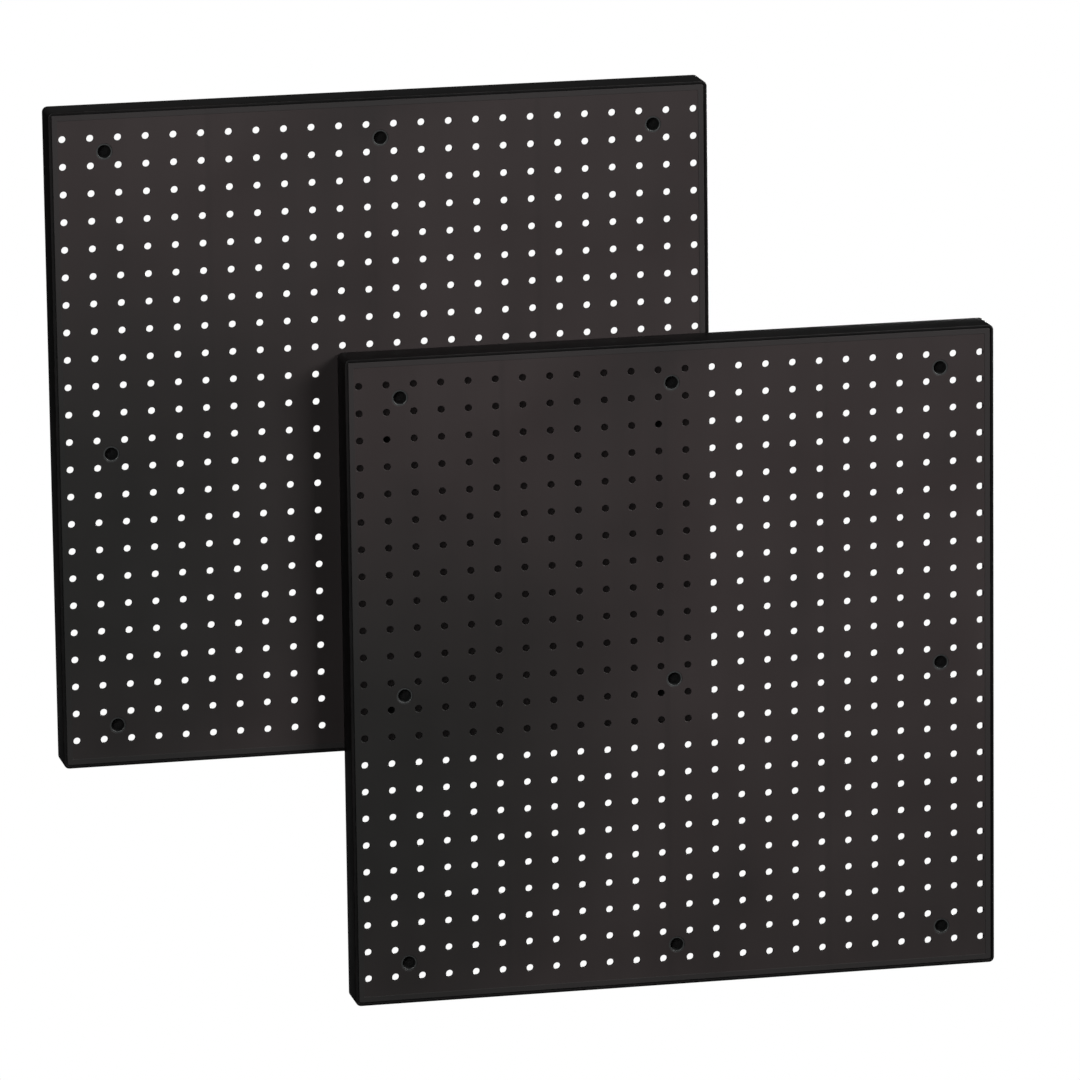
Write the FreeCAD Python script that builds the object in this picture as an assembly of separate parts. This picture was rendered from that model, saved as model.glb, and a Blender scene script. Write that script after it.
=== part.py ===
"""Two identical moulded pegboard wall panels, one held clear in front of the other.

Every length is in millimetres. +X is to the right, +Z is up, and the faces look towards -Y.
The origin is the middle of the rear panel's corner screws, on the plane where the screw bosses end.
Each panel is one moulding. It is divided into solids that meet face to face and never overlap.
"""

import FreeCAD, Part
import os

# The panel as a whole
PANEL_SIZE = 609.6
PANEL_DEPTH = 35.0
WALL_THICKNESS = 2.4
CORNER_RADIUS = 5.0
LIP_ROUND = 0.8

# The perforated face, set between the four walls
FACE_THICKNESS = 3.0
FACE_SETBACK = 0.5
GROOVE_WIDTH = 0.9
GROOVE_DEPTH = 1.1
BORDER_WIDTH = 5.0
BORDER_HEIGHT = 0.3

# Peg holes
PEG_PITCH = 25.4
PEG_COLUMNS = 24
PEG_ROWS = 23
PEG_HOLE_DIAMETER = 6.6

# Screw positions: three columns by three rows, each midway between four peg holes
SCREW_COLUMNS = (-10.0 * PEG_PITCH, 0.0, 10.0 * PEG_PITCH)
SCREW_ROWS = {
    "upper": 10.5 * PEG_PITCH,
    "middle": -0.5 * PEG_PITCH,
    "lower": -10.5 * PEG_PITCH,
}
SCREW_HEAD_DIAMETER = 12.0
SCREW_CLEARANCE_DIAMETER = 5.0
BOSS_DIAMETER = 14.4
BOSS_DEPTH = 18.0
BOSS_FLOOR = 3.0
HEAD_RECESS_DIAMETER = 15.0
HEAD_RECESS_DEPTH = 0.5

# Ribs behind the face
RIB_THICKNESS = 2.0
RIB_DEPTH = 18.0
RIB_SPACING = 6.0 * PEG_PITCH
RIB_COLUMNS = {
    "left": -RIB_SPACING,
    "centre": 0.0,
    "right": RIB_SPACING,
}

# The front panel hangs clear of the rear one, to its right and below it
PANEL_GAP = 1.5
FRONT_OFFSET = FreeCAD.Vector(261.0, -(PANEL_DEPTH + PANEL_GAP), -234.5)

# Planes along Y, from the front of the rear panel to the wall behind it
BOSS_END_PLANE = 0.0
FACE_BACK_PLANE = BOSS_END_PLANE - BOSS_DEPTH
FIELD_PLANE = FACE_BACK_PLANE - FACE_THICKNESS
BORDER_PLANE = FIELD_PLANE - BORDER_HEIGHT
LIP_PLANE = BORDER_PLANE - FACE_SETBACK
WALL_PLANE = LIP_PLANE + PANEL_DEPTH

INNER_SIZE = PANEL_SIZE - 2.0 * WALL_THICKNESS
INNER_RADIUS = CORNER_RADIUS - WALL_THICKNESS
SAME_PLACE = 0.01
TOWARDS_WALL = FreeCAD.Vector(0.0, 1.0, 0.0)
PARTS_FOLDER = "parts"


def rounded_square(size, radius, plane):
    """A closed square outline with round corners, lying at one depth."""
    half = size / 2.0
    flat = half - radius
    diagonal = flat + radius * 0.5 ** 0.5
    edges = []
    for turn in range(4):
        start = (flat, half)
        middle = (diagonal, diagonal)
        end = (half, flat)
        following = (half, -flat)
        points = []
        for across, up in (start, middle, end, following):
            for _ in range(turn):
                across, up = up, -across
            points.append(FreeCAD.Vector(across, plane, up))
        edges.append(Part.Arc(points[0], points[1], points[2]).toShape())
        edges.append(Part.LineSegment(points[2], points[3]).toShape())
    return Part.Wire(edges)


def slab(size, radius, front, back):
    """A square plate with round corners, between two depths."""
    outline = Part.Face(rounded_square(size, radius, front))
    return outline.extrude(TOWARDS_WALL * (back - front))


def square_ring(outer_size, outer_radius, inner_size, inner_radius, front, back):
    """A square frame with round corners, between two depths."""
    outer = slab(outer_size, outer_radius, front, back)
    return outer.cut(slab(inner_size, inner_radius, front, back))


def cylinder(diameter, across, up, front, back):
    """A round bar that points at the wall."""
    base = FreeCAD.Vector(across, front, up)
    return Part.makeCylinder(diameter / 2.0, back - front, base, TOWARDS_WALL)


def bar(low_x, high_x, low_z, high_z, front, back):
    """A square-cornered block given by its limits."""
    corner = FreeCAD.Vector(low_x, front, low_z)
    return Part.makeBox(high_x - low_x, back - front, high_z - low_z, corner)


def peg_positions():
    """Every peg hole's place on the face, across and up."""
    first_column = -(PEG_COLUMNS - 1) / 2.0 * PEG_PITCH
    first_row = (PEG_ROWS - 1) / 2.0 * PEG_PITCH
    for column in range(PEG_COLUMNS):
        for row in range(PEG_ROWS):
            yield first_column + column * PEG_PITCH, first_row - row * PEG_PITCH


def screw_positions():
    """Every screw's place on the face, across and up."""
    for up in SCREW_ROWS.values():
        for across in SCREW_COLUMNS:
            yield across, up


def circle(diameter, across, up, plane):
    """A round outline at one depth."""
    centre = FreeCAD.Vector(across, plane, up)
    return Part.Wire([Part.makeCircle(diameter / 2.0, centre, TOWARDS_WALL)])


def perforated_face():
    """The plate with all its holes, the groove at its edge and the raised border."""
    outlines = [rounded_square(INNER_SIZE, INNER_RADIUS, FIELD_PLANE)]
    for across, up in peg_positions():
        outlines.append(circle(PEG_HOLE_DIAMETER, across, up, FIELD_PLANE))
    for across, up in screw_positions():
        outlines.append(circle(SCREW_HEAD_DIAMETER, across, up, FIELD_PLANE))
    plate = Part.Face(outlines, "Part::FaceMakerBullseye").extrude(TOWARDS_WALL * FACE_THICKNESS)

    grooved_size = INNER_SIZE - 2.0 * GROOVE_WIDTH
    grooved_radius = INNER_RADIUS - GROOVE_WIDTH
    groove_floor = BORDER_PLANE + GROOVE_DEPTH
    groove = square_ring(
        INNER_SIZE, INNER_RADIUS, grooved_size, grooved_radius, FIELD_PLANE, groove_floor
    )
    field_size = grooved_size - 2.0 * BORDER_WIDTH
    border = square_ring(
        grooved_size, grooved_radius, field_size, grooved_radius, BORDER_PLANE, FIELD_PLANE
    )
    plate = plate.cut(groove).fuse(border)

    recess_floor = FIELD_PLANE + HEAD_RECESS_DEPTH
    recesses = [
        cylinder(HEAD_RECESS_DIAMETER, across, up, FIELD_PLANE, recess_floor)
        for across, up in screw_positions()
    ]
    return plate.cut(Part.makeCompound(recesses))


def rim_walls():
    """The four side walls, mitred at the corners."""
    ring = square_ring(
        PANEL_SIZE, CORNER_RADIUS, INNER_SIZE, INNER_RADIUS, LIP_PLANE, WALL_PLANE
    )
    outer_front_edges = [
        edge
        for edge in ring.Edges
        if is_front_edge(edge) and is_outer_edge(edge)
    ]
    ring = ring.makeFillet(LIP_ROUND, outer_front_edges)

    walls = {}
    for name, direction in (("top", (0, 1)), ("right", (1, 0)), ("bottom", (0, -1)), ("left", (-1, 0))):
        walls[name + "_wall"] = ring.common(mitre_wedge(*direction))
    return walls


def is_front_edge(edge):
    """True for an edge that lies in the plane of the lip."""
    box = edge.BoundBox
    return abs(box.YMin - LIP_PLANE) < SAME_PLACE and abs(box.YMax - LIP_PLANE) < SAME_PLACE


def is_outer_edge(edge):
    """True for an edge that lies outside the middle of the wall's thickness."""
    box = edge.BoundBox
    reach = max(abs(box.XMin), abs(box.XMax), abs(box.ZMin), abs(box.ZMax))
    return reach > (PANEL_SIZE - WALL_THICKNESS) / 2.0


def mitre_wedge(across, up):
    """A three-sided prism from the middle of the panel to one side."""
    reach = PANEL_SIZE
    front = LIP_PLANE
    middle = FreeCAD.Vector(0.0, front, 0.0)
    first = FreeCAD.Vector((across - up) * reach, front, (up + across) * reach)
    second = FreeCAD.Vector((across + up) * reach, front, (up - across) * reach)
    outline = Part.Face(Part.makePolygon([middle, first, second, middle]))
    return outline.extrude(TOWARDS_WALL * PANEL_DEPTH)


def screw_bosses():
    """Three rows of round bosses, each bored for a screw head and floored at its far end."""
    rows = {}
    floor_plane = BOSS_END_PLANE - BOSS_FLOOR
    for name, up in SCREW_ROWS.items():
        bosses = []
        for across in SCREW_COLUMNS:
            post = cylinder(BOSS_DIAMETER, across, up, FACE_BACK_PLANE, BOSS_END_PLANE)
            head_bore = cylinder(SCREW_HEAD_DIAMETER, across, up, FACE_BACK_PLANE, floor_plane)
            shank_hole = cylinder(SCREW_CLEARANCE_DIAMETER, across, up, floor_plane, BOSS_END_PLANE)
            bosses.append(post.cut(head_bore).cut(shank_hole))
        rows[name + "_screw_bosses"] = Part.makeCompound(bosses)
    return rows


def boss_blanks():
    """The space that the bosses fill, which the ribs leave free."""
    return Part.makeCompound(
        [
            cylinder(BOSS_DIAMETER, across, up, FACE_BACK_PLANE, BOSS_END_PLANE)
            for across, up in screw_positions()
        ]
    )


def upright_ribs():
    """Three ribs up the back of the face. The centre one is in lengths between the bosses."""
    inner = INNER_SIZE / 2.0
    rib_end = FACE_BACK_PLANE + RIB_DEPTH
    ribs = {}
    for name, middle in RIB_COLUMNS.items():
        low = middle - RIB_THICKNESS / 2.0
        high = middle + RIB_THICKNESS / 2.0
        rib = bar(low, high, -inner, inner, FACE_BACK_PLANE, rib_end)
        ribs[name + "_rib"] = Part.makeCompound(rib.cut(boss_blanks()).Solids)
    return ribs


def cross_ribs(upright):
    """Three ribs across the back, in lengths between the walls, the bosses and the upright ribs."""
    inner = INNER_SIZE / 2.0
    rib_end = FACE_BACK_PLANE + RIB_DEPTH
    in_the_way = Part.makeCompound([boss_blanks()] + list(upright.values()))
    ribs = {}
    for name, middle in SCREW_ROWS.items():
        low = middle - RIB_THICKNESS / 2.0
        high = middle + RIB_THICKNESS / 2.0
        rib = bar(-inner, inner, low, high, FACE_BACK_PLANE, rib_end).cut(in_the_way)
        ribs[name + "_cross_rib"] = Part.makeCompound(rib.Solids)
    return ribs


def panel_pieces():
    """Every solid of one panel, by name, in the rear panel's place."""
    pieces = {"perforated_face": perforated_face()}
    pieces.update(rim_walls())
    upright = upright_ribs()
    pieces.update(upright)
    pieces.update(cross_ribs(upright))
    pieces.update(screw_bosses())
    return pieces


def main():
    os.makedirs(PARTS_FOLDER, exist_ok=True)
    places = {"rear": FreeCAD.Vector(0.0, 0.0, 0.0), "front": FRONT_OFFSET}
    for name, shape in panel_pieces().items():
        for panel, offset in places.items():
            moved = shape.copy()
            moved.translate(offset)
            moved.exportStep(os.path.join(PARTS_FOLDER, panel + "_" + name + ".step"))
            print(panel, name, "solids", len(moved.Solids), "valid", moved.isValid(),
                  "volume", round(moved.Volume, 1))


main()
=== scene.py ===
import math

import bmesh
import bpy
from mathutils import Matrix, Vector


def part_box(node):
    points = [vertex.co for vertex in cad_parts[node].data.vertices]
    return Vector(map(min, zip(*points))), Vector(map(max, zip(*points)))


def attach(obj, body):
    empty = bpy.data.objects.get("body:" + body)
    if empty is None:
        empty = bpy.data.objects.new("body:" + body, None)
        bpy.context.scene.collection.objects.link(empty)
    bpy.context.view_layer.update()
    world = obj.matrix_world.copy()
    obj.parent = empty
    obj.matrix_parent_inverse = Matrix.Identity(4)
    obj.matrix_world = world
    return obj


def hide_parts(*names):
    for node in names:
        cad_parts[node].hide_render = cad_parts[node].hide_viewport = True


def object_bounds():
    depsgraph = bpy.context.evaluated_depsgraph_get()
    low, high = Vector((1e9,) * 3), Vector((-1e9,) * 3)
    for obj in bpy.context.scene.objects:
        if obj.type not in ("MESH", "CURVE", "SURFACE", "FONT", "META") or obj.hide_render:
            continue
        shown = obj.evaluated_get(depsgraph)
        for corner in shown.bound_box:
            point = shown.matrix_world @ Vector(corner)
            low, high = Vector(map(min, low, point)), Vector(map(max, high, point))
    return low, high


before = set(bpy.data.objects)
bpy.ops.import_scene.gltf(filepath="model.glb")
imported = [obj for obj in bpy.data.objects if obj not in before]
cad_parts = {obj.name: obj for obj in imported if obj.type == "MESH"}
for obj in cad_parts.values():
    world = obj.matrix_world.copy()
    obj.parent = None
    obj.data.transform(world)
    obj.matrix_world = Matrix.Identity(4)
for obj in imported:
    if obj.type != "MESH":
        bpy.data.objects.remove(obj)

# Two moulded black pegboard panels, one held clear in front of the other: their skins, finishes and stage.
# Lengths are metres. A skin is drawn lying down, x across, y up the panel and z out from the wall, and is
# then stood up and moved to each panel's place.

cad_low, cad_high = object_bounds()

# Sizes read from the frame
WALL_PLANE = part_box("rear_right_wall")[1].y
PANEL_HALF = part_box("rear_right_wall")[1].x
PANEL_DEPTH = WALL_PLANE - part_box("rear_right_wall")[0].y
PLATE_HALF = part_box("rear_perforated_face")[1].x
BORDER_TOP = WALL_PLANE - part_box("rear_perforated_face")[0].y
PLATE_BACK = WALL_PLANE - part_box("rear_perforated_face")[1].y
RIB_END = WALL_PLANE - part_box("rear_left_rib")[1].y
BOSS_END = WALL_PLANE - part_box("rear_upper_screw_bosses")[1].y
FRONT_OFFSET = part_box("front_perforated_face")[0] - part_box("rear_perforated_face")[0]
RIB_COLUMNS = {
    name: (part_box(f"rear_{name}_rib")[0].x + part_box(f"rear_{name}_rib")[1].x) / 2.0
    for name in ("left", "centre", "right")
}
SCREW_ROWS = {
    name: (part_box(f"rear_{name}_screw_bosses")[0].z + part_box(f"rear_{name}_screw_bosses")[1].z) / 2.0
    for name in ("upper", "middle", "lower")
}

# The face: peg holes, raised border and groove
PEG_PITCH = 0.0254
PEG_COLUMNS = 24
PEG_ROWS = 23
PEG_HOLE_RADIUS = 0.0033
PEG_HOLE_ROUNDING = 0.0003
PEG_HOLE_SIDES = 20
BORDER_HEIGHT = 0.0003
BORDER_WIDTH = 0.005
GROOVE_WIDTH = 0.0009
GROOVE_DEPTH = 0.0011
FIELD_TOP = BORDER_TOP - BORDER_HEIGHT
BORDER_HALF = PLATE_HALF - GROOVE_WIDTH
FIELD_HALF = BORDER_HALF - BORDER_WIDTH

# The rim
CORNER_RADIUS = 0.005
SMALLEST_CORNER = 0.001
CORNER_STEPS = 7
LIP_ROUND = 0.0008

# Screw seats, bosses and ribs. A turned section stops short of its axis, so a pinhole stays there.
SCREW_COLUMNS = (-10.0 * PEG_PITCH, 0.0, 10.0 * PEG_PITCH)
SEAT_RADIUS = 0.0075
SEAT_DEPTH = 0.0005
SEAT_ROUNDING = 0.0003
BORE_RADIUS = 0.006
BORE_ROUNDING = 0.0004
BOSS_RADIUS = 0.0072
BOSS_FLOOR = 0.003
BOSS_SIDES = 40
SHANK_RADIUS = 0.0025
SHANK_SKIN = 0.0006
PINHOLE_RADIUS = 0.00005
RIB_THICKNESS = 0.002
ROOT_FILLET = 0.0008

# How skins are joined, what counts as a flat or a rounding, and the attributes that finishes read
WELD_DISTANCE = 0.000004
HIDDEN_OVERLAP = 0.00002
SHARP_EDGE = math.radians(38.0)
FLAT_FACING = 0.99999
NEARLY_FLAT_FACING = 0.985
SIDE_FACING = 0.15
ROUNDED_EDGE = "rounded_edge"
BORE_DEPTH = "bore_depth"

# Marks on the face: upright witness lines. Painted shade on the face: a darker cloudy patch low on the left,
# darker towards the foot, and a darkened groove
WITNESS_LINES = (-0.1594, -0.0070, 0.1454)
WITNESS_HALF_WIDTH = 0.0045
WITNESS_DARKENING = 0.35
WITNESS_DEPTH = 0.00006
SHADE_PATCH_CENTRE = Vector((-0.32, 0.0, -0.13))
SHADE_PATCH_FLATTENING = (1.0, 0.0, 1.15)
SHADE_PATCH_CORE = 0.05
SHADE_PATCH_REACH = 0.46
SHADE_PATCH_UNEVENNESS = 0.12
SHADE_PATCH_CLOUD_SCALE = 6.0
SHADE_PATCH_SHARE = 0.80
PAINTED_SHADE_COLOUR = (0.0060, 0.0068, 0.0062, 1.0)
FOOT_SHADE_HEIGHTS = (-0.30, 0.12)
FOOT_SHADE_SHARE = 0.26
BORDER_SHARE = 0.6
BORDER_BLEND = 0.0002
GROOVE_BLEND = 0.0001
PAINTED_GROOVE_SHADE = (0.0015, 0.0015, 0.0015, 1.0)

# Painted shade: the bores' colour darkens from their mouths down
BORE_SHADE_START = 0.002
BORE_SHADE_FULL = 0.012
DARK_BORE_ROUGHNESS = 0.95
PAINTED_BORE_SHADE = (0.0010, 0.0010, 0.0010, 1.0)

# Where each panel stands. Both are drawn lying down, with their wall side at the origin.
STAND_UP = Matrix.Rotation(math.radians(90.0), 4, "X")
AT_WALL = Vector((0.0, WALL_PLANE, 0.0))
PANELS = {
    "rear": Matrix.Translation(AT_WALL),
    "front": Matrix.Translation(FRONT_OFFSET + AT_WALL),
}


# ---------------------------------------------------------------- outlines and skins

def soften(corners, closed=True, steps=3):
    """A section through corners given as (reach, height, rounding), with an arc at each rounded corner."""
    section = []
    for index, (reach, height, rounding) in enumerate(corners):
        corner = Vector((reach, height))
        if rounding == 0.0:
            section.append(corner)
            continue
        before = (Vector(corners[index - 1][:2]) - corner).normalized()
        after = (Vector(corners[(index + 1) % len(corners)][:2]) - corner).normalized()
        half_angle = before.angle(after) / 2.0
        middle = corner + (before + after).normalized() * (rounding / math.sin(half_angle))
        start = corner + before * (rounding / math.tan(half_angle)) - middle
        end = corner + after * (rounding / math.tan(half_angle)) - middle
        for step in range(steps + 1):
            swing = start.angle_signed(end) * step / steps
            section.append(middle + Matrix.Rotation(-swing, 2) @ start)
    kept = [section[0]]
    for point in section[1:]:
        if (point - kept[-1]).length > WELD_DISTANCE:
            kept.append(point)
    if closed and (kept[0] - kept[-1]).length < WELD_DISTANCE:
        kept.pop()
    return kept


def round_loop(radius, height, sides):
    """Points of a circle about the origin, at one height."""
    return [
        (radius * math.cos(math.tau * side / sides), radius * math.sin(math.tau * side / sides), height)
        for side in range(sides)
    ]


def square_loop(half, height):
    """Points of a square with round corners, at one height. The corners are concentric with the rim's."""
    radius = max(SMALLEST_CORNER, CORNER_RADIUS - (PANEL_HALF - half))
    flat = half - radius
    points = []
    for quarter in range(4):
        for step in range(CORNER_STEPS + 1):
            angle = math.radians(90.0 * (quarter + step / CORNER_STEPS))
            middle_x = flat if quarter in (0, 3) else -flat
            middle_y = flat if quarter in (0, 1) else -flat
            points.append((middle_x + radius * math.cos(angle), middle_y + radius * math.sin(angle), height))
    return points


def skin(name, loops, closed):
    """A mesh stretched over loops that all have the same number of points."""
    count = len(loops[0])
    pairs = [(index, index + 1) for index in range(len(loops) - 1)]
    if closed:
        pairs.append((len(loops) - 1, 0))
    faces = [
        (low * count + side, low * count + (side + 1) % count,
         high * count + (side + 1) % count, high * count + side)
        for low, high in pairs
        for side in range(count)
    ]
    mesh = bpy.data.meshes.new(name)
    mesh.from_pydata([point for loop in loops for point in loop], [], faces)
    return mesh


def turned(name, corners, sides, closed=True, steps=3):
    """A round piece turned from a section."""
    section = soften(corners, closed, steps)
    return skin(name, [round_loop(point.x, point.y, sides) for point in section], closed)


def framed(name, corners, closed=True, steps=3):
    """A square frame drawn from a section, whose reach is measured from the panel's middle."""
    section = soften(corners, closed, steps)
    return skin(name, [square_loop(point.x, point.y) for point in section], closed)


def pattern(name, mesh):
    """An object that a node tree copies. It is removed once the skins are made."""
    made = bpy.data.objects.new(name, mesh)
    bpy.context.scene.collection.objects.link(made)
    return made


def points_mesh(name, points, edges=()):
    """A mesh of loose points, with wires between them if edges are given."""
    mesh = bpy.data.meshes.new(name)
    mesh.from_pydata(points, list(edges), [])
    return mesh


def tidy_surface(mesh):
    """Welds the seams, turns every face outwards, and shades flats flat and roundings smooth."""
    work = bmesh.new()
    work.from_mesh(mesh)
    bmesh.ops.remove_doubles(work, verts=work.verts, dist=WELD_DISTANCE)
    bmesh.ops.recalc_face_normals(work, faces=work.faces)
    work.to_mesh(mesh)
    work.free()
    mesh.set_sharp_from_angle(angle=SHARP_EDGE)
    rounding = mesh.attributes.new(ROUNDED_EDGE, "FLOAT", "FACE")
    for polygon in mesh.polygons:
        facing = abs(polygon.normal.z)
        polygon.use_smooth = facing < FLAT_FACING
        rounding.data[polygon.index].value = 1.0 if SIDE_FACING < facing < NEARLY_FLAT_FACING else 0.0


# ---------------------------------------------------------------- node trees that repeat shapes

def new_shape_tree(name, inputs):
    """An empty geometry tree with one geometry output and the named inputs."""
    tree = bpy.data.node_groups.new(name, "GeometryNodeTree")
    for label, kind in inputs:
        tree.interface.new_socket(label, in_out="INPUT", socket_type=kind)
    tree.interface.new_socket("Geometry", in_out="OUTPUT", socket_type="NodeSocketGeometry")
    return tree, tree.nodes.new("NodeGroupInput"), tree.nodes.new("NodeGroupOutput")


def add(tree, kind, settings=None, **inputs):
    """Adds a node, makes its settings, and fills or links its inputs by name."""
    node = tree.nodes.new(kind)
    for key, value in (settings or {}).items():
        setattr(node, key, value)
    for key, value in inputs.items():
        wanted = key.replace("_", " ").lower()
        socket = next(s for s in node.inputs if s.enabled and s.name.lower() == wanted)
        if isinstance(value, bpy.types.NodeSocket):
            tree.links.new(value, socket)
        else:
            socket.default_value = value
    return node


def arithmetic(tree, operation, first, second=0.0):
    """The result of one sum on two numbers or sockets."""
    node = tree.nodes.new("ShaderNodeMath")
    node.operation = operation
    for socket, value in zip(node.inputs, (first, second)):
        if isinstance(value, bpy.types.NodeSocket):
            tree.links.new(value, socket)
        else:
            socket.default_value = value
    return node.outputs[0]


def perforated_plate_tree():
    """Fills the border's two open loops with sheets, pierced by rounded peg holes and by screw seats."""
    tree, given, result = new_shape_tree(
        "perforated_plate",
        (
            ("Border", "NodeSocketGeometry"),
            ("Hole Edge", "NodeSocketObject"),
            ("Seat Edge", "NodeSocketObject"),
            ("Screw Places", "NodeSocketObject"),
            ("Columns", "NodeSocketInt"),
            ("Rows", "NodeSocketInt"),
            ("Pitch", "NodeSocketFloat"),
            ("Hole Radius", "NodeSocketFloat"),
            ("Hole Rounding", "NodeSocketFloat"),
            ("Hole Sides", "NodeSocketInt"),
            ("Seat Radius", "NodeSocketFloat"),
            ("Seat Rounding", "NodeSocketFloat"),
            ("Seat Sides", "NodeSocketInt"),
            ("Front Height", "NodeSocketFloat"),
            ("Back Height", "NodeSocketFloat"),
            ("Weld Distance", "NodeSocketFloat"),
            ("Finish", "NodeSocketMaterial"),
        ),
    )
    inputs = given.outputs
    column_gaps = arithmetic(tree, "SUBTRACT", inputs["Columns"], 1.0)
    row_gaps = arithmetic(tree, "SUBTRACT", inputs["Rows"], 1.0)
    width = arithmetic(tree, "MULTIPLY", inputs["Pitch"], column_gaps)
    height = arithmetic(tree, "MULTIPLY", inputs["Pitch"], row_gaps)
    peg_places = add(tree, "GeometryNodeMeshGrid", Size_X=width, Size_Y=height,
                     Vertices_X=inputs["Columns"], Vertices_Y=inputs["Rows"]).outputs["Mesh"]
    screw_places = add(tree, "GeometryNodeObjectInfo", Object=inputs["Screw Places"]).outputs["Geometry"]
    joined = add(tree, "GeometryNodeJoinGeometry")

    def outlines_at(places, radius, sides):
        circle = add(tree, "GeometryNodeCurvePrimitiveCircle", Resolution=sides, Radius=radius)
        copies = add(tree, "GeometryNodeInstanceOnPoints", Points=places, Instance=circle.outputs["Curve"])
        return add(tree, "GeometryNodeRealizeInstances", Geometry=copies.outputs["Instances"]).outputs[0]

    def sheet(level, hole_radius, seat_radius):
        neighbours = tree.nodes.new("GeometryNodeInputMeshEdgeNeighbors").outputs["Face Count"]
        open_edge = add(tree, "FunctionNodeCompare", {"data_type": "INT", "operation": "EQUAL"},
                        A=neighbours, B=1)
        place = tree.nodes.new("GeometryNodeInputPosition")
        split = add(tree, "ShaderNodeSeparateXYZ", Vector=place.outputs[0])
        gap = arithmetic(tree, "ABSOLUTE", arithmetic(tree, "SUBTRACT", split.outputs["Z"], level))
        at_level = arithmetic(tree, "LESS_THAN", gap, WELD_DISTANCE)
        chosen = arithmetic(tree, "MULTIPLY", open_edge.outputs[0], at_level)
        edge = add(tree, "GeometryNodeMeshToCurve", Mesh=inputs["Border"], Selection=chosen).outputs[0]
        outlines = add(tree, "GeometryNodeJoinGeometry")
        tree.links.new(edge, outlines.inputs[0])
        tree.links.new(outlines_at(peg_places, hole_radius, inputs["Hole Sides"]), outlines.inputs[0])
        tree.links.new(outlines_at(screw_places, seat_radius, inputs["Seat Sides"]), outlines.inputs[0])
        filled = add(tree, "GeometryNodeFillCurve", Curve=outlines.outputs[0]).outputs[0]
        lift = add(tree, "ShaderNodeCombineXYZ", Z=level)
        raised = add(tree, "GeometryNodeSetPosition", Geometry=filled, Offset=lift.outputs[0])
        tree.links.new(raised.outputs[0], joined.inputs[0])

    def edges_at(places, shape):
        copied = add(tree, "GeometryNodeObjectInfo", Object=shape).outputs["Geometry"]
        copies = add(tree, "GeometryNodeInstanceOnPoints", Points=places, Instance=copied)
        tree.links.new(copies.outputs["Instances"], joined.inputs[0])

    rounded_hole = arithmetic(tree, "ADD", inputs["Hole Radius"], inputs["Hole Rounding"])
    rounded_seat = arithmetic(tree, "ADD", inputs["Seat Radius"], inputs["Seat Rounding"])
    sheet(inputs["Front Height"], rounded_hole, rounded_seat)
    sheet(inputs["Back Height"], inputs["Hole Radius"], inputs["Seat Radius"])
    edges_at(peg_places, inputs["Hole Edge"])
    edges_at(screw_places, inputs["Seat Edge"])
    tree.links.new(inputs["Border"], joined.inputs[0])
    whole = add(tree, "GeometryNodeRealizeInstances", Geometry=joined.outputs[0]).outputs[0]
    welded = add(tree, "GeometryNodeMergeByDistance", Geometry=whole, Distance=inputs["Weld Distance"])
    finished = add(tree, "GeometryNodeSetMaterial", Geometry=welded.outputs[0], Material=inputs["Finish"])
    tree.links.new(finished.outputs[0], result.inputs[0])
    return tree


def repeated_shape_tree():
    """Puts a copy of one shape at each of the given points."""
    tree, given, result = new_shape_tree(
        "repeated_shape",
        (
            ("Places", "NodeSocketGeometry"),
            ("Shape", "NodeSocketObject"),
            ("Finish", "NodeSocketMaterial"),
        ),
    )
    shape = add(tree, "GeometryNodeObjectInfo", Object=given.outputs["Shape"]).outputs["Geometry"]
    copies = add(tree, "GeometryNodeInstanceOnPoints", Points=given.outputs["Places"], Instance=shape)
    whole = add(tree, "GeometryNodeRealizeInstances", Geometry=copies.outputs["Instances"]).outputs[0]
    finished = add(tree, "GeometryNodeSetMaterial", Geometry=whole, Material=given.outputs["Finish"])
    tree.links.new(finished.outputs[0], result.inputs[0])
    return tree


def moulded_rib_tree():
    """Draws one rib section along each given line, and closes its ends."""
    tree, given, result = new_shape_tree(
        "moulded_rib",
        (
            ("Lines", "NodeSocketGeometry"),
            ("Section", "NodeSocketObject"),
            ("Finish", "NodeSocketMaterial"),
        ),
    )
    line = add(tree, "GeometryNodeMeshToCurve", Mesh=given.outputs["Lines"]).outputs[0]
    upright = add(tree, "GeometryNodeSetCurveNormal", {"mode": "Z_UP"}, Curve=line).outputs[0]
    outline = add(tree, "GeometryNodeObjectInfo", Object=given.outputs["Section"]).outputs["Geometry"]
    section = add(tree, "GeometryNodeMeshToCurve", Mesh=outline).outputs[0]
    drawn = add(tree, "GeometryNodeCurveToMesh", Curve=upright, Profile_Curve=section, Fill_Caps=True)
    whole = add(tree, "GeometryNodeRealizeInstances", Geometry=drawn.outputs[0]).outputs[0]
    finished = add(tree, "GeometryNodeSetMaterial", Geometry=whole, Material=given.outputs["Finish"])
    tree.links.new(finished.outputs[0], result.inputs[0])
    return tree


def grown(name, start, tree, values):
    """The plain mesh that a tree makes of a starting mesh."""
    carrier = pattern(name, start)
    modifier = carrier.modifiers.new(tree.name, "NODES")
    modifier.node_group = tree
    for item in tree.interface.items_tree:
        if item.item_type == "SOCKET" and item.in_out == "INPUT" and item.name in values:
            modifier[item.identifier] = values[item.name]
    carrier.update_tag()
    bpy.context.view_layer.update()
    seen = carrier.evaluated_get(bpy.context.evaluated_depsgraph_get())
    mesh = bpy.data.meshes.new_from_object(seen)
    carrier.modifiers.remove(modifier)
    bpy.data.objects.remove(carrier)
    return mesh


# ---------------------------------------------------------------- finishes

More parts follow.
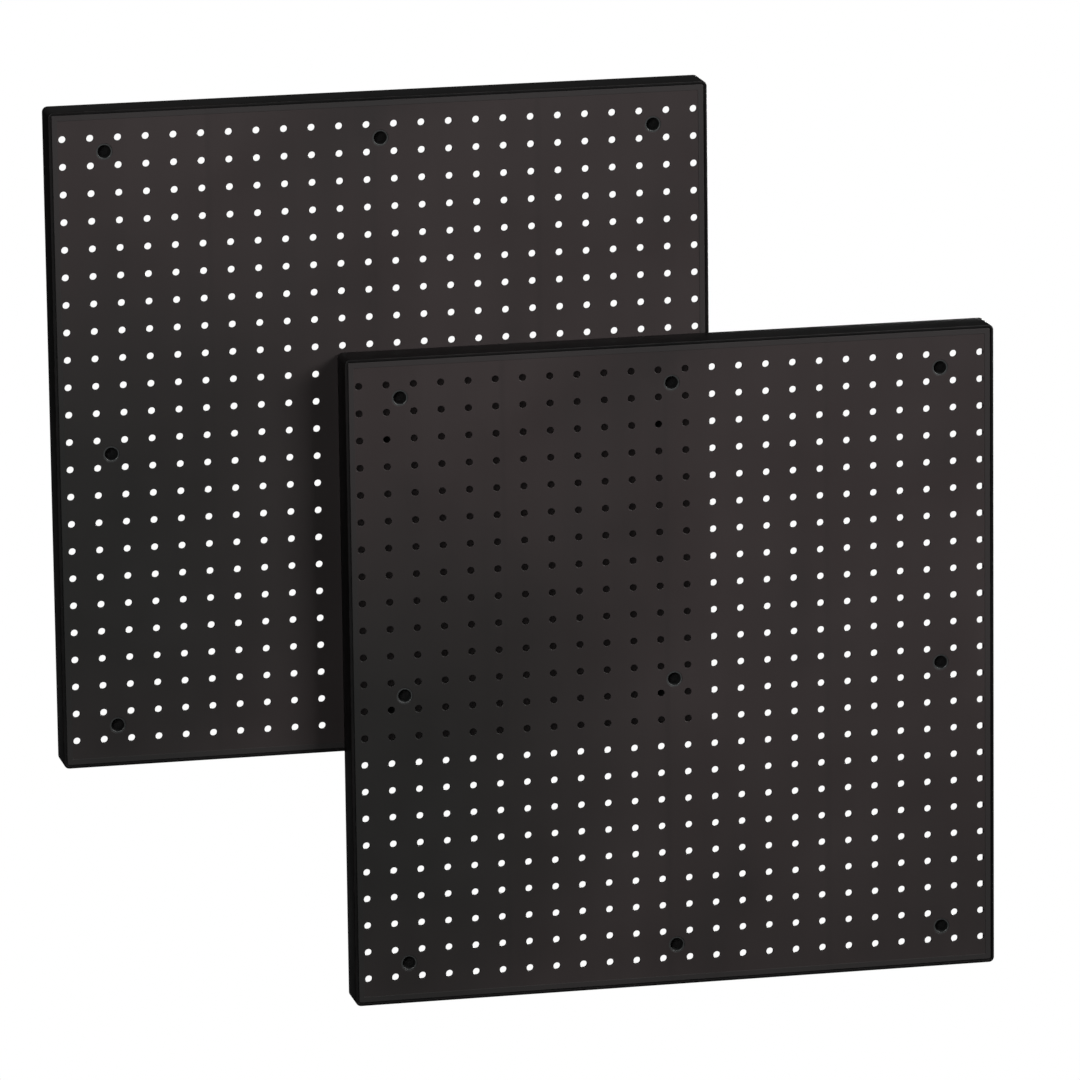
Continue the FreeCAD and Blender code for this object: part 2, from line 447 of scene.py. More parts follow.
# How the shared effects are laid over the plastic. A pair of levels is where a mask starts and ends.
NOISE_MIDDLE = 0.5
PIT_LEVELS = (0.32, 0.5)
PATCH_SCALE = 4.5
FLOW_STRETCH = (30.0, 30.0, 1.6)
LIGHTER_LEVELS = (0.48, 0.78)
DARKER_LEVELS = (0.5, 0.22)
SPECK_LEVELS = (0.62, 0.8)
SPECK_SHARE = 0.35
RUBBED_SCALE = 9.0
RUBBED_LEVELS = (0.3, 0.7)
SCUFF_LEAN = math.radians(34.0)
SCUFF_STRETCH = (26.0, 26.0, 1.2)
SCUFF_LEVELS = (0.66, 0.8)
SCUFF_AREA_SCALE = 14.0
SCUFF_AREA_LEVELS = (0.5, 0.7)
SCUFF_POLISH = 0.08
BREAKUP_LEVELS = (0.35, 0.65)


def new_effect(name, inputs, outputs):
    """An empty shader group with the named inputs and outputs."""
    group = bpy.data.node_groups.new(name, "ShaderNodeTree")
    for label, kind, default in inputs:
        socket = group.interface.new_socket(label, in_out="INPUT", socket_type=kind)
        if default is not None:
            socket.default_value = default
    for label, kind in outputs:
        group.interface.new_socket(label, in_out="OUTPUT", socket_type=kind)
    return group, group.nodes.new("NodeGroupInput"), group.nodes.new("NodeGroupOutput")


def noise(tree, place, scale, detail=2.0, roughness=0.5, distortion=0.0):
    """A noise value between 0 and 1."""
    return add(tree, "ShaderNodeTexNoise", Vector=place, Scale=scale, Detail=detail,
               Roughness=roughness, Distortion=distortion).outputs[0]


def spread(tree, value, low, high, new_low=0.0, new_high=1.0):
    """A value stretched from one range to another, and held inside it."""
    return add(tree, "ShaderNodeMapRange", {"interpolation_type": "SMOOTHSTEP"}, Value=value,
               From_Min=low, From_Max=high, To_Min=new_low, To_Max=new_high).outputs[0]


def stretched(tree, place, scale, turn=0.0):
    """A place turned about Y, with its axes stretched."""
    return add(tree, "ShaderNodeMapping", Vector=place, Rotation=(0.0, turn, 0.0), Scale=scale).outputs[0]


def about_middle(tree, value, share):
    """A noise value centred on zero and scaled."""
    return arithmetic(tree, "MULTIPLY", arithmetic(tree, "SUBTRACT", value, NOISE_MIDDLE), share)


def mixed(tree, share, first, second):
    """One colour blended into another."""
    node = tree.nodes.new("ShaderNodeMix")
    node.data_type = "RGBA"
    for socket, value in zip((node.inputs[0], node.inputs[6], node.inputs[7]), (share, first, second)):
        if isinstance(value, bpy.types.NodeSocket):
            tree.links.new(value, socket)
        else:
            socket.default_value = value
    return node.outputs[2]


def moulded_grain_effect():
    """The fine pebbled grain of a textured mould, with a little orange peel under it."""
    group, given, result = new_effect(
        "moulded_grain",
        (
            ("Place", "NodeSocketVector", None),
            ("Grain Scale", "NodeSocketFloat", 1500.0),
            ("Peel Scale", "NodeSocketFloat", 160.0),
            ("Peel Share", "NodeSocketFloat", 0.5),
        ),
        (("Height", "NodeSocketFloat"), ("Pits", "NodeSocketFloat")),
    )
    inputs = given.outputs
    grain = noise(group, inputs["Place"], inputs["Grain Scale"], detail=2.0, roughness=0.65)
    peel = noise(group, inputs["Place"], inputs["Peel Scale"], detail=0.0)
    height = arithmetic(group, "ADD", grain, arithmetic(group, "MULTIPLY", peel, inputs["Peel Share"]))
    group.links.new(height, result.inputs["Height"])
    group.links.new(spread(group, grain, *PIT_LEVELS, 1.0, 0.0), result.inputs["Pits"])
    return group


def tone_drift_effect():
    """Slow colour change over a moulding: broad patches, streaks along the flow, and fine speckle."""
    group, given, result = new_effect(
        "tone_drift",
        (
            ("Place", "NodeSocketVector", None),
            ("Base", "NodeSocketColor", None),
            ("Lighter", "NodeSocketColor", None),
            ("Darker", "NodeSocketColor", None),
            ("Streak Share", "NodeSocketFloat", 0.3),
            ("Speckle Scale", "NodeSocketFloat", 2200.0),
        ),
        (("Color", "NodeSocketColor"), ("Patch", "NodeSocketFloat")),
    )
    inputs = given.outputs
    patches = noise(group, inputs["Place"], PATCH_SCALE, detail=2.0, distortion=0.4)
    flow = stretched(group, inputs["Place"], FLOW_STRETCH)
    streaks = noise(group, flow, 1.0, detail=3.0, roughness=0.6)
    drift = arithmetic(group, "ADD", patches, about_middle(group, streaks, inputs["Streak Share"]))
    lifted = mixed(group, spread(group, drift, *LIGHTER_LEVELS), inputs["Base"], inputs["Lighter"])
    lowered = mixed(group, spread(group, drift, *DARKER_LEVELS), lifted, inputs["Darker"])
    specks = noise(group, inputs["Place"], inputs["Speckle Scale"], detail=1.0)
    speckle = spread(group, specks, *SPECK_LEVELS, 0.0, SPECK_SHARE)
    speckled = mixed(group, speckle, lowered, inputs["Lighter"])
    group.links.new(speckled, result.inputs["Color"])
    group.links.new(drift, result.inputs["Patch"])
    return group


def handling_wear_effect():
    """Fine scuffs and finger-dulled patches, as a roughness change and a mask for paler scratches."""
    group, given, result = new_effect(
        "handling_wear",
        (
            ("Place", "NodeSocketVector", None),
            ("Roughness Low", "NodeSocketFloat", 0.4),
            ("Roughness High", "NodeSocketFloat", 0.6),
            ("Scuff Scale", "NodeSocketFloat", 35.0),
        ),
        (("Roughness", "NodeSocketFloat"), ("Scuffs", "NodeSocketFloat")),
    )
    inputs = given.outputs
    rubbed = noise(group, inputs["Place"], RUBBED_SCALE, detail=3.0, roughness=0.6)
    smooth, rough = RUBBED_LEVELS
    level = add(group, "ShaderNodeMapRange", Value=rubbed, From_Min=smooth, From_Max=rough,
                To_Min=inputs["Roughness Low"], To_Max=inputs["Roughness High"]).outputs[0]
    lean = stretched(group, inputs["Place"], SCUFF_STRETCH, SCUFF_LEAN)
    lines = noise(group, lean, inputs["Scuff Scale"], detail=2.0, roughness=0.7)
    where = noise(group, inputs["Place"], SCUFF_AREA_SCALE, detail=2.0)
    scuffs = arithmetic(group, "MULTIPLY", spread(group, lines, *SCUFF_LEVELS),
                        spread(group, where, *SCUFF_AREA_LEVELS))
    polished = arithmetic(group, "MULTIPLY", scuffs, SCUFF_POLISH)
    group.links.new(arithmetic(group, "SUBTRACT", level, polished), result.inputs["Roughness"])
    group.links.new(scuffs, result.inputs["Scuffs"])
    return group


def edge_wear_effect():
    """A mask that shows where raised edges have been rubbed, broken up by noise."""
    group, given, result = new_effect(
        "edge_wear",
        (
            ("Place", "NodeSocketVector", None),
            ("Rounded", "NodeSocketFloat", 0.0),
            ("Breakup Scale", "NodeSocketFloat", 120.0),
            ("Amount", "NodeSocketFloat", 0.5),
        ),
        (("Mask", "NodeSocketFloat"),),
    )
    inputs = given.outputs
    patchy = noise(group, inputs["Place"], inputs["Breakup Scale"], detail=3.0)
    broken = spread(group, patchy, *BREAKUP_LEVELS)
    worn = arithmetic(group, "MULTIPLY", inputs["Rounded"], broken)
    mask = arithmetic(group, "MULTIPLY", worn, inputs["Amount"])
    group.links.new(mask, result.inputs["Mask"])
    return group


EFFECTS = {
    "grain": moulded_grain_effect(),
    "tone": tone_drift_effect(),
    "wear": handling_wear_effect(),
    "edges": edge_wear_effect(),
}


def effect(tree, name, **inputs):
    """Places one of the shared effects in a material, with its own values."""
    node = tree.nodes.new("ShaderNodeGroup")
    node.node_tree = EFFECTS[name]
    for key, value in inputs.items():
        socket = node.inputs[key.replace("_", " ")]
        if isinstance(value, bpy.types.NodeSocket):
            tree.links.new(value, socket)
        else:
            socket.default_value = value
    return node.outputs


def grey(level, warmth=0.0):
    """A near-black plastic colour. Warmth lifts red over green and blue."""
    return (level * (1.0 + warmth), level, level, 1.0)


def new_plastic(name, panel, looks):
    """A moulded plastic: colour drift, grain, wear and edge rub, set out from the panel's own middle.

    Returns the material, and the place, surface and bump that a finish may build on.
    """
    material = bpy.data.materials.new(name)
    material.use_nodes = True
    tree = material.node_tree
    tree.nodes.clear()
    coordinates = tree.nodes.new("ShaderNodeTexCoord").outputs["Object"]
    centred = -PANELS[panel].to_translation()
    place = add(tree, "ShaderNodeMapping", Vector=coordinates, Location=centred).outputs[0]
    tone = effect(tree, "tone", Place=place, Base=looks["base"], Lighter=looks["lighter"],
                  Darker=looks["darker"], Streak_Share=looks["streaks"])
    grain = effect(tree, "grain", Place=place, Grain_Scale=looks["grain_scale"],
                   Peel_Scale=looks["peel_scale"], Peel_Share=looks["peel_share"])
    wear = effect(tree, "wear", Place=place, Roughness_Low=looks["roughness"][0],
                  Roughness_High=looks["roughness"][1])
    rounded = add(tree, "ShaderNodeAttribute", {"attribute_name": ROUNDED_EDGE}).outputs["Fac"]
    rubbed = effect(tree, "edges", Place=place, Rounded=rounded, Amount=looks["edge_amount"])["Mask"]
    scuffed = mixed(tree, arithmetic(tree, "MULTIPLY", wear["Scuffs"], looks["scuff_share"]),
                    tone["Color"], looks["lighter"])
    pitted = mixed(tree, arithmetic(tree, "MULTIPLY", grain["Pits"], looks["pit_share"]),
                   scuffed, looks["darker"])
    colour = mixed(tree, rubbed, pitted, looks["rubbed"])
    bump = add(tree, "ShaderNodeBump", Strength=looks["bump_strength"], Distance=looks["bump_distance"],
               Height=grain["Height"])
    surface = add(tree, "ShaderNodeBsdfPrincipled", Roughness=wear["Roughness"], IOR=looks["ior"],
                  Base_Color=colour, Normal=bump.outputs[0])
    surface.inputs["Specular IOR Level"].default_value = looks["specular"]
    output = tree.nodes.new("ShaderNodeOutputMaterial")
    tree.links.new(surface.outputs[0], output.inputs["Surface"])
    return material, place, surface, bump


def witness_lines(tree, across):
    """A mask of the faint upright lines, for a place across the panel."""
    lines = None
    for column in WITNESS_LINES:
        gap = arithmetic(tree, "ABSOLUTE", arithmetic(tree, "SUBTRACT", across, column))
        line = spread(tree, gap, 0.0, WITNESS_HALF_WIDTH, 1.0, 0.0)
        lines = line if lines is None else arithmetic(tree, "MAXIMUM", lines, line)
    return lines


def painted_shade_mask(tree, place, up):
    """Where shade is painted on the face: a cloudy darker patch low on the left, and darker all over towards
    the foot.
    """
    flattened = stretched(tree, place, SHADE_PATCH_FLATTENING)
    distance = add(tree, "ShaderNodeVectorMath", {"operation": "DISTANCE"}, Vector=flattened)
    distance.inputs[1].default_value = SHADE_PATCH_CENTRE
    clouds = noise(tree, place, SHADE_PATCH_CLOUD_SCALE, detail=2.0)
    uneven = arithmetic(tree, "ADD", distance.outputs["Value"], about_middle(tree, clouds, SHADE_PATCH_UNEVENNESS))
    patch = spread(tree, uneven, SHADE_PATCH_CORE, SHADE_PATCH_REACH, SHADE_PATCH_SHARE, 0.0)
    foot = spread(tree, up, *FOOT_SHADE_HEIGHTS, FOOT_SHADE_SHARE, 0.0)
    return arithmetic(tree, "MAXIMUM", patch, foot)


def satin_face(panel):
    """The face: warm charcoal with a cooler border, and painted shade: darker low on the left and towards
    the foot, and dark in the groove.
    """
    looks = {
        "base": grey(0.0180, 0.32), "lighter": grey(0.0215, 0.30), "darker": grey(0.0146, 0.25),
        "rubbed": grey(0.036, 0.14), "streaks": 0.30, "grain_scale": 1400.0, "peel_scale": 150.0,
        "peel_share": 0.5, "roughness": (0.44, 0.54), "edge_amount": 0.25, "scuff_share": 0.3,
        "pit_share": 0.25, "bump_strength": 0.3, "bump_distance": 0.00008, "ior": 1.46, "specular": 0.25,
    }
    border_colour = grey(0.0188, 0.02)
    material, place, surface, bump = new_plastic(f"{panel}_satin_face", panel, looks)
    tree = material.node_tree
    split = add(tree, "ShaderNodeSeparateXYZ", Vector=place).outputs
    plain = surface.inputs["Base Color"].links[0].from_socket

    witness = witness_lines(tree, split["X"])
    lined = mixed(tree, arithmetic(tree, "MULTIPLY", witness, WITNESS_DARKENING), plain, looks["darker"])

    reach = arithmetic(tree, "MAXIMUM", arithmetic(tree, "ABSOLUTE", split["X"]),
                       arithmetic(tree, "ABSOLUTE", split["Z"]))
    on_border = spread(tree, reach, FIELD_HALF - BORDER_BLEND, FIELD_HALF + BORDER_BLEND)
    bordered = mixed(tree, arithmetic(tree, "MULTIPLY", on_border, BORDER_SHARE), lined, border_colour)
    # Painted shade: a darker cloudy patch low on the left and a darker foot
    shaded_face = mixed(tree, painted_shade_mask(tree, place, split["Z"]), bordered, PAINTED_SHADE_COLOUR)
    # Painted shade: the groove is coloured darker
    in_groove = spread(tree, reach, BORDER_HALF - GROOVE_BLEND, BORDER_HALF + GROOVE_BLEND)
    tree.links.new(mixed(tree, in_groove, shaded_face, PAINTED_GROOVE_SHADE), surface.inputs["Base Color"])

    sunk = arithmetic(tree, "MULTIPLY", witness, -1.0)
    lined_bump = add(tree, "ShaderNodeBump", Strength=1.0, Distance=WITNESS_DEPTH, Height=sunk,
                     Normal=bump.outputs[0])
    tree.links.new(lined_bump.outputs[0], surface.inputs["Normal"])
    return material


def side_wall(panel):
    """The rim: darker and smoother than the face, drawn straight out of a polished mould."""
    looks = {
        "base": grey(0.0030, 0.05), "lighter": grey(0.0044, 0.15), "darker": grey(0.0020, 0.0),
        "rubbed": grey(0.009, 0.20), "streaks": 0.5, "grain_scale": 2300.0, "peel_scale": 220.0,
        "peel_share": 0.35, "roughness": (0.34, 0.48), "edge_amount": 0.6, "scuff_share": 0.5,
        "pit_share": 0.15, "bump_strength": 0.22, "bump_distance": 0.00005, "ior": 1.40, "specular": 0.2,
    }
    return new_plastic(f"{panel}_side_wall", panel, looks)[0]


def back_rib(panel):
    """The ribs: as moulded, dull and unpolished."""
    looks = {
        "base": grey(0.0150, 0.10), "lighter": grey(0.0200, 0.08), "darker": grey(0.0110, 0.08),
        "rubbed": grey(0.040, 0.05), "streaks": 0.7, "grain_scale": 1100.0, "peel_scale": 130.0,
        "peel_share": 0.8, "roughness": (0.5, 0.66), "edge_amount": 0.5, "scuff_share": 0.3,
        "pit_share": 0.35, "bump_strength": 0.35, "bump_distance": 0.0001, "ior": 1.49, "specular": 0.5,
    }
    return new_plastic(f"{panel}_back_rib", panel, looks)[0]


def screw_boss(panel):
    """The screw seats and bosses: cooler and glossier than the face, with painted shade darkening the bores
    from their mouths down.
    """
    looks = {
        "base": grey(0.0250, -0.06), "lighter": grey(0.0300, -0.06), "darker": grey(0.0200, -0.04),
        "rubbed": grey(0.045, -0.03), "streaks": 0.2, "grain_scale": 2600.0, "peel_scale": 300.0,
        "peel_share": 0.3, "roughness": (0.3, 0.42), "edge_amount": 0.7, "scuff_share": 0.6,
        "pit_share": 0.2, "bump_strength": 0.2, "bump_distance": 0.00005, "ior": 1.49, "specular": 0.5,
    }
    material, _, surface, _ = new_plastic(f"{panel}_screw_boss", panel, looks)
    tree = material.node_tree
    # Painted shade: the colour darkens and the roughness rises with depth down the bore
    depth = add(tree, "ShaderNodeAttribute", {"attribute_name": BORE_DEPTH}).outputs["Fac"]
    shadowed = spread(tree, depth, BORE_SHADE_START, BORE_SHADE_FULL)
    clean = surface.inputs["Base Color"].links[0].from_socket
    tree.links.new(mixed(tree, shadowed, clean, PAINTED_BORE_SHADE), surface.inputs["Base Color"])
    polish = surface.inputs["Roughness"].links[0].from_socket
    matt = arithmetic(tree, "MULTIPLY", shadowed, DARK_BORE_ROUGHNESS)
    tree.links.new(arithmetic(tree, "MAXIMUM", polish, matt), surface.inputs["Roughness"])
    return material


FINISHES = {
    panel: {
        "satin_face": satin_face(panel),
        "side_wall": side_wall(panel),
        "back_rib": back_rib(panel),
        "screw_boss": screw_boss(panel),
    }
    for panel in PANELS
}

# A node tree sets this finish on both panels' shared skins. dress() then gives each panel its own.
SHARED_FINISH = FINISHES["rear"]["satin_face"]


# ---------------------------------------------------------------- the panel's skins, lying down

def opening_edge(name, radius, rounding, sides, steps):
    """The rounded mouth and the side of a round opening through the plate."""
    corners = (
        (radius + rounding, FIELD_TOP, 0.0),
        (radius, FIELD_TOP, rounding),
        (radius, PLATE_BACK, 0.0),
    )
    return pattern(name, turned(name, corners, sides, closed=False, steps=steps))


def plate_skin():
    """The pierced plate with its raised border and the groove round it."""
    groove_floor = BORDER_TOP - GROOVE_DEPTH
    flat_strip = 0.0004
    slope = 0.0001
    slope_rounding = 0.00012
    border_rounding = 0.0003
    groove_rounding = 0.0001
    border = framed(
        "border",
        (
            (FIELD_HALF - flat_strip, FIELD_TOP, 0.0),
            (FIELD_HALF - slope, FIELD_TOP, slope_rounding),
            (FIELD_HALF + slope, BORDER_TOP, slope_rounding),
            (BORDER_HALF, BORDER_TOP, border_rounding),
            (BORDER_HALF, groove_floor, groove_rounding),
            (PLATE_HALF, groove_floor, 0.0),
            (PLATE_HALF, PLATE_BACK, 0.0),
            (PLATE_HALF - flat_strip, PLATE_BACK, 0.0),
        ),
        closed=False,
    )
    hole_edge = opening_edge("hole_edge", PEG_HOLE_RADIUS, PEG_HOLE_ROUNDING, PEG_HOLE_SIDES, steps=2)
    seat_edge = opening_edge("seat_edge", SEAT_RADIUS, SEAT_ROUNDING, BOSS_SIDES, steps=3)
    places = pattern("screw_places", points_mesh("screw_places", [
        (across, up, 0.0) for up in SCREW_ROWS.values() for across in SCREW_COLUMNS
    ]))
    mesh = grown("plate", border, perforated_plate_tree(), {
        "Hole Edge": hole_edge,
        "Seat Edge": seat_edge,
        "Screw Places": places,
        "Columns": PEG_COLUMNS,
        "Rows": PEG_ROWS,
        "Pitch": PEG_PITCH,
        "Hole Radius": PEG_HOLE_RADIUS,
        "Hole Rounding": PEG_HOLE_ROUNDING,
        "Hole Sides": PEG_HOLE_SIDES,
        "Seat Radius": SEAT_RADIUS,
        "Seat Rounding": SEAT_ROUNDING,
        "Seat Sides": BOSS_SIDES,
        "Front Height": FIELD_TOP,
        "Back Height": PLATE_BACK,
        "Weld Distance": WELD_DISTANCE,
        "Finish": SHARED_FINISH,
    })
    for used in (hole_edge, seat_edge, places):
        bpy.data.objects.remove(used)
    return mesh


def rim_skin():
    """The four side walls as one frame: a rounded lip, a fillet behind the plate and a drafted inside."""
    draft = 0.0004
    back_rounding = 0.0004
    inner_rounding = 0.0003
    root_step = 0.0001
    root_rounding = 0.0007
    return framed(
        "rim",
        (
            (PANEL_HALF, 0.0, back_rounding),
            (PANEL_HALF, PANEL_DEPTH, LIP_ROUND),
            (PLATE_HALF, PANEL_DEPTH, inner_rounding),
            (PLATE_HALF, PLATE_BACK + root_step, 0.0),
            (PLATE_HALF - ROOT_FILLET, PLATE_BACK + root_step, 0.0),
            (PLATE_HALF - ROOT_FILLET, PLATE_BACK, 0.0),
            (PLATE_HALF, PLATE_BACK - HIDDEN_OVERLAP, root_rounding),
            (PLATE_HALF + draft, 0.0, inner_rounding),
        ),
        steps=4,
    )


def post_skin():
    """One screw boss: a recessed seat, a bore for the head, and a shank hole closed by a thin skin."""
    seat_top = FIELD_TOP - SEAT_DEPTH
    bore_floor = BOSS_END + BOSS_FLOOR
    shank_floor = BOSS_END + SHANK_SKIN
    hidden_top = PLATE_BACK + HIDDEN_OVERLAP
    hidden_radius = SEAT_RADIUS + HIDDEN_OVERLAP
    end_rounding = 0.0004
    shank_rounding = 0.0003
    draft = 0.0001
    foot_fillet = 0.0011
    foot_spread = 0.0013
    foot_radius = BOSS_RADIUS + foot_spread
    mesh = turned(
        "post",
        (
            (BORE_RADIUS, seat_top, BORE_ROUNDING),
            (BORE_RADIUS, bore_floor, end_rounding),
            (SHANK_RADIUS, bore_floor, shank_rounding),
            (SHANK_RADIUS, shank_floor, shank_rounding),
            (PINHOLE_RADIUS, shank_floor, 0.0),
            (PINHOLE_RADIUS, BOSS_END, 0.0),
            (BOSS_RADIUS - draft, BOSS_END, end_rounding),
            (BOSS_RADIUS, PLATE_BACK, foot_fillet),
            (foot_radius, PLATE_BACK, 0.0),
            (foot_radius, hidden_top, 0.0),
            (hidden_radius, hidden_top, 0.0),
            (hidden_radius, seat_top, 0.0),
        ),
        BOSS_SIDES,
        steps=4,
    )
    # Depth below the seat inside the bore, which the boss finish reads to paint shade down the bore
    depths = mesh.attributes.new(BORE_DEPTH, "FLOAT", "POINT")
    for vertex in mesh.vertices:
        inside = vertex.co.xy.length < BORE_RADIUS + HIDDEN_OVERLAP
        above_end = vertex.co.z > BOSS_END + HIDDEN_OVERLAP
        depths.data[vertex.index].value = seat_top - vertex.co.z if inside and above_end else 0.0
    return mesh


def rib_section():
    """A rib's outline about its own line: a filleted root, a slight taper and a rounded free edge."""
    root = RIB_THICKNESS / 2.0
    taper = 0.0002
    tip = root - taper
    tip_height = PLATE_BACK - RIB_END
    tip_rounding = 0.0005
    foot_margin = 0.0002
    foot = root + ROOT_FILLET + foot_margin
    section = soften(
        (
            (foot, -HIDDEN_OVERLAP, 0.0),
            (foot, 0.0, 0.0),
            (root, 0.0, ROOT_FILLET),
            (tip, tip_height, tip_rounding),
            (-tip, tip_height, tip_rounding),
            (-root, 0.0, ROOT_FILLET),
            (-foot, 0.0, 0.0),
            (-foot, -HIDDEN_OVERLAP, 0.0),
        ),
        steps=4,
    )
    count = len(section)
    edges = [(index, (index + 1) % count) for index in range(count)]
    return points_mesh("rib_section", [(point.x, point.y, 0.0) for point in section], edges)


def runs_between(middles):
    """The lengths that are left of a line where bosses stand on it. Each runs a little way into a boss."""
    sunk_in = 0.0006
    clear = BOSS_RADIUS - sunk_in
    stops = [-PLATE_HALF]
    for middle in sorted(middles):
        stops += [middle - clear, middle + clear]
    stops.append(PLATE_HALF)
    return list(zip(stops[0::2], stops[1::2]))


def rib_lines():
    """The ribs' root lines by CAD node name: three up the plate and three across it, clear of the bosses."""
    lines = {}
    for name, across in RIB_COLUMNS.items():
        on_screws = any(abs(across - column) < BOSS_RADIUS for column in SCREW_COLUMNS)
        runs = runs_between(SCREW_ROWS.values() if on_screws else ())
        lines[f"{name}_rib"] = [((across, start), (across, end)) for start, end in runs]
    for name, up in SCREW_ROWS.items():
        lines[f"{name}_cross_rib"] = [
            ((start, up), (end, up)) for start, end in runs_between(SCREW_COLUMNS)
        ]
    return lines


def line_mesh(name, lines):
    """A wire of separate straight lines along the plate's back."""
    points = [(across, up, PLATE_BACK) for line in lines for across, up in line]
    edges = [(2 * index, 2 * index + 1) for index in range(len(lines))]
    return points_mesh(name, points, edges)


def dress(mesh, name, nodes, slot):
    """Stands a skin up at each panel's place, with its finish, body and the CAD nodes it stands for."""
    tidy_surface(mesh)
    for panel, place in PANELS.items():
        stood = mesh.copy()
        stood.transform(place @ STAND_UP)
        stood.materials.clear()
        stood.materials.append(FINISHES[panel][slot])
        stood.name = f"{panel}_{name}"
        piece = bpy.data.objects.new(f"{panel}_{name}", stood)
        bpy.context.scene.collection.objects.link(piece)
        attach(piece, f"{panel}_panel")
        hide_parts(*(f"{panel}_{node}" for node in nodes))
    bpy.data.meshes.remove(mesh)


dress(plate_skin(), "pierced_plate", ["perforated_face"], "satin_face")
dress(rim_skin(), "rim", ["top_wall", "bottom_wall", "left_wall", "right_wall"], "side_wall")

shape_tree = repeated_shape_tree()
post = pattern("post", post_skin())
for row, up in SCREW_ROWS.items():
    starts = points_mesh("post_places", [(across, up, 0.0) for across in SCREW_COLUMNS])
    posts = grown("posts", starts, shape_tree, {"Shape": post, "Finish": SHARED_FINISH})
    dress(posts, f"{row}_screw_posts", [f"{row}_screw_bosses"], "screw_boss")
bpy.data.objects.remove(post)

rib_tree = moulded_rib_tree()
section = pattern("rib_section", rib_section())
for node, lines in rib_lines().items():
    starts = line_mesh("rib_lines", lines)
    rib = grown("rib", starts, rib_tree, {"Section": section, "Finish": SHARED_FINISH})
    dress(rib, f"{node}_moulding", [node], "back_rib")
bpy.data.objects.remove(section)


# ---------------------------------------------------------------- stage, light and camera

FLOOR_DROP = 0.35
FLOOR_SIZE = 60.0
CAMERA_PLACE = AT_WALL + Vector((-1.4908, -7.7435, 1.6685))
CAMERA_AIM = AT_WALL + Vector((0.1430, -0.0365, -0.1160))
CAMERA_ROLL = math.radians(-0.738)
CAMERA_LENS = 292.26
SENSOR_WIDTH = 36.0
VIEW_LIMIT = 100.0
STAGE_MIDDLE = (0.1, 0.0, -0.1)
WHITE = (1.0, 1.0, 1.0, 1.0)
FLOOR_GREY = (0.08, 0.08, 0.08, 1.0)
ROOM_LOW = 0.012
ROOM_HIGH = 0.10


def seen_only_by_camera(tree, for_camera, for_others):
    """Mixes two shaders, so that the pale stage doesn't wash over the dark plastic as a reflection."""
    path = tree.nodes.new("ShaderNodeLightPath")
    blend = tree.nodes.new("ShaderNodeMixShader")
    tree.links.new(path.outputs["Is Camera Ray"], blend.inputs[0])
    tree.links.new(for_others, blend.inputs[1])
    tree.links.new(for_camera, blend.inputs[2])
    return blend.outputs[0]


def make_floor():
    """A plain pale floor, well below the panels."""
    mesh = bpy.data.meshes.new("floor")
    half = FLOOR_SIZE / 2.0
    level = cad_low.z - FLOOR_DROP
    corners = [(-half, -half, level), (half, -half, level), (half, half, level), (-half, half, level)]
    mesh.from_pydata(corners, [], [(0, 1, 2, 3)])
    floor = bpy.data.objects.new("floor", mesh)
    bpy.context.scene.collection.objects.link(floor)
    material = bpy.data.materials.new("pale_floor")
    material.use_nodes = True
    tree = material.node_tree
    tree.nodes.clear()
    pale = add(tree, "ShaderNodeEmission", Color=WHITE, Strength=1.0).outputs[0]
    matt = add(tree, "ShaderNodeBsdfDiffuse", Color=FLOOR_GREY).outputs[0]
    output = tree.nodes.new("ShaderNodeOutputMaterial")
    tree.links.new(seen_only_by_camera(tree, pale, matt), output.inputs["Surface"])
    mesh.materials.append(material)


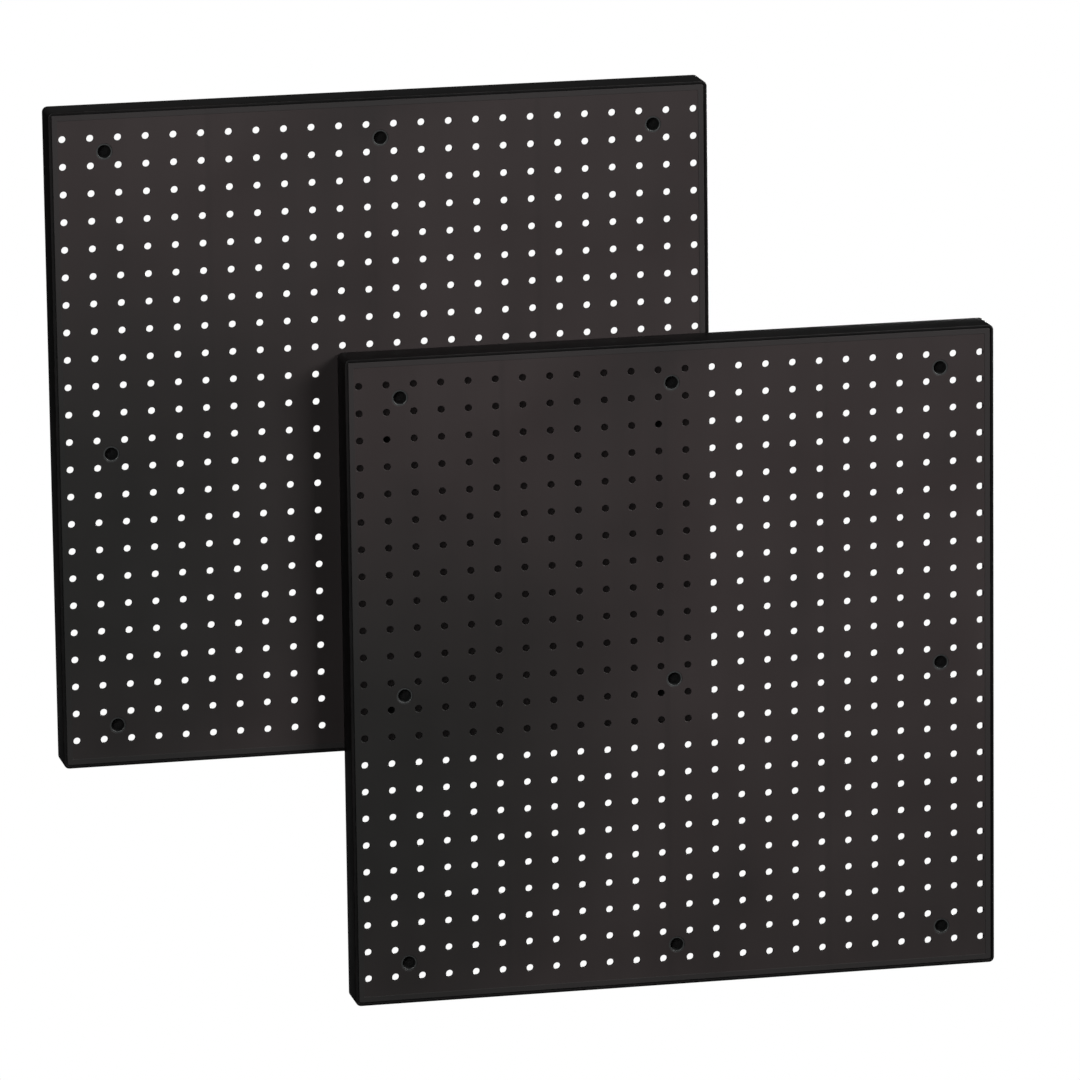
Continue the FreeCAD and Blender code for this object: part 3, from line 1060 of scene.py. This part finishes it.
def make_world():
    """A white surround for the camera. For the plastic it is a dim room, brighter overhead than behind."""
    world = bpy.data.worlds.new("studio")
    bpy.context.scene.world = world
    world.use_nodes = True
    tree = world.node_tree
    tree.nodes.clear()
    white = add(tree, "ShaderNodeBackground", Color=WHITE, Strength=1.0).outputs[0]
    direction = tree.nodes.new("ShaderNodeTexCoord").outputs["Generated"]
    upward = add(tree, "ShaderNodeSeparateXYZ", Vector=direction).outputs["Z"]
    level = add(tree, "ShaderNodeMapRange", Value=upward, From_Min=-0.1, From_Max=0.5,
                To_Min=ROOM_LOW, To_Max=ROOM_HIGH).outputs[0]
    dim = add(tree, "ShaderNodeBackground", Color=WHITE, Strength=level).outputs[0]
    output = tree.nodes.new("ShaderNodeOutputWorld")
    tree.links.new(seen_only_by_camera(tree, white, dim), output.inputs["Surface"])


def soft_light(name, place, aim, size, power):
    """A white soft box, hidden from the camera, that points at a target."""
    data = bpy.data.lights.new(name, "AREA")
    data.shape = "RECTANGLE"
    data.size, data.size_y = size
    data.energy = power
    light = bpy.data.objects.new(name, data)
    light.location = place
    light.rotation_euler = (Vector(aim) - Vector(place)).to_track_quat("-Z", "Y").to_euler()
    light.visible_camera = False
    bpy.context.scene.collection.objects.link(light)


def make_camera():
    """A long lens, high and to the left, tilted a little."""
    data = bpy.data.cameras.new("camera")
    data.lens = CAMERA_LENS
    data.sensor_width = SENSOR_WIDTH
    data.clip_end = VIEW_LIMIT
    camera = bpy.data.objects.new("camera", data)
    turn = (CAMERA_AIM - CAMERA_PLACE).to_track_quat("-Z", "Y").to_matrix().to_4x4()
    camera.matrix_world = Matrix.Translation(CAMERA_PLACE) @ turn @ Matrix.Rotation(CAMERA_ROLL, 4, "Z")
    bpy.context.scene.collection.objects.link(camera)
    bpy.context.scene.camera = camera


bpy.context.scene.view_settings.view_transform = "Standard"
make_floor()
make_world()
soft_light("key", (4.2, -4.2, 2.8), STAGE_MIDDLE, (3.0, 2.0), 480.0)
soft_light("front_fill", (-1.9, -6.5, 1.9), STAGE_MIDDLE, (1.5, 1.5), 190.0)
soft_light("back_fill", (2.8, 4.2, -0.4), STAGE_MIDDLE, (2.4, 0.8), 220.0)

# A faint glow where the panels overlap stands in for light that strays into the hollow between them
soft_light("between_panels", (0.13, -0.026, -0.117), (0.13, 0.0, -0.117), (0.34, 0.37), 0.035)
make_camera()
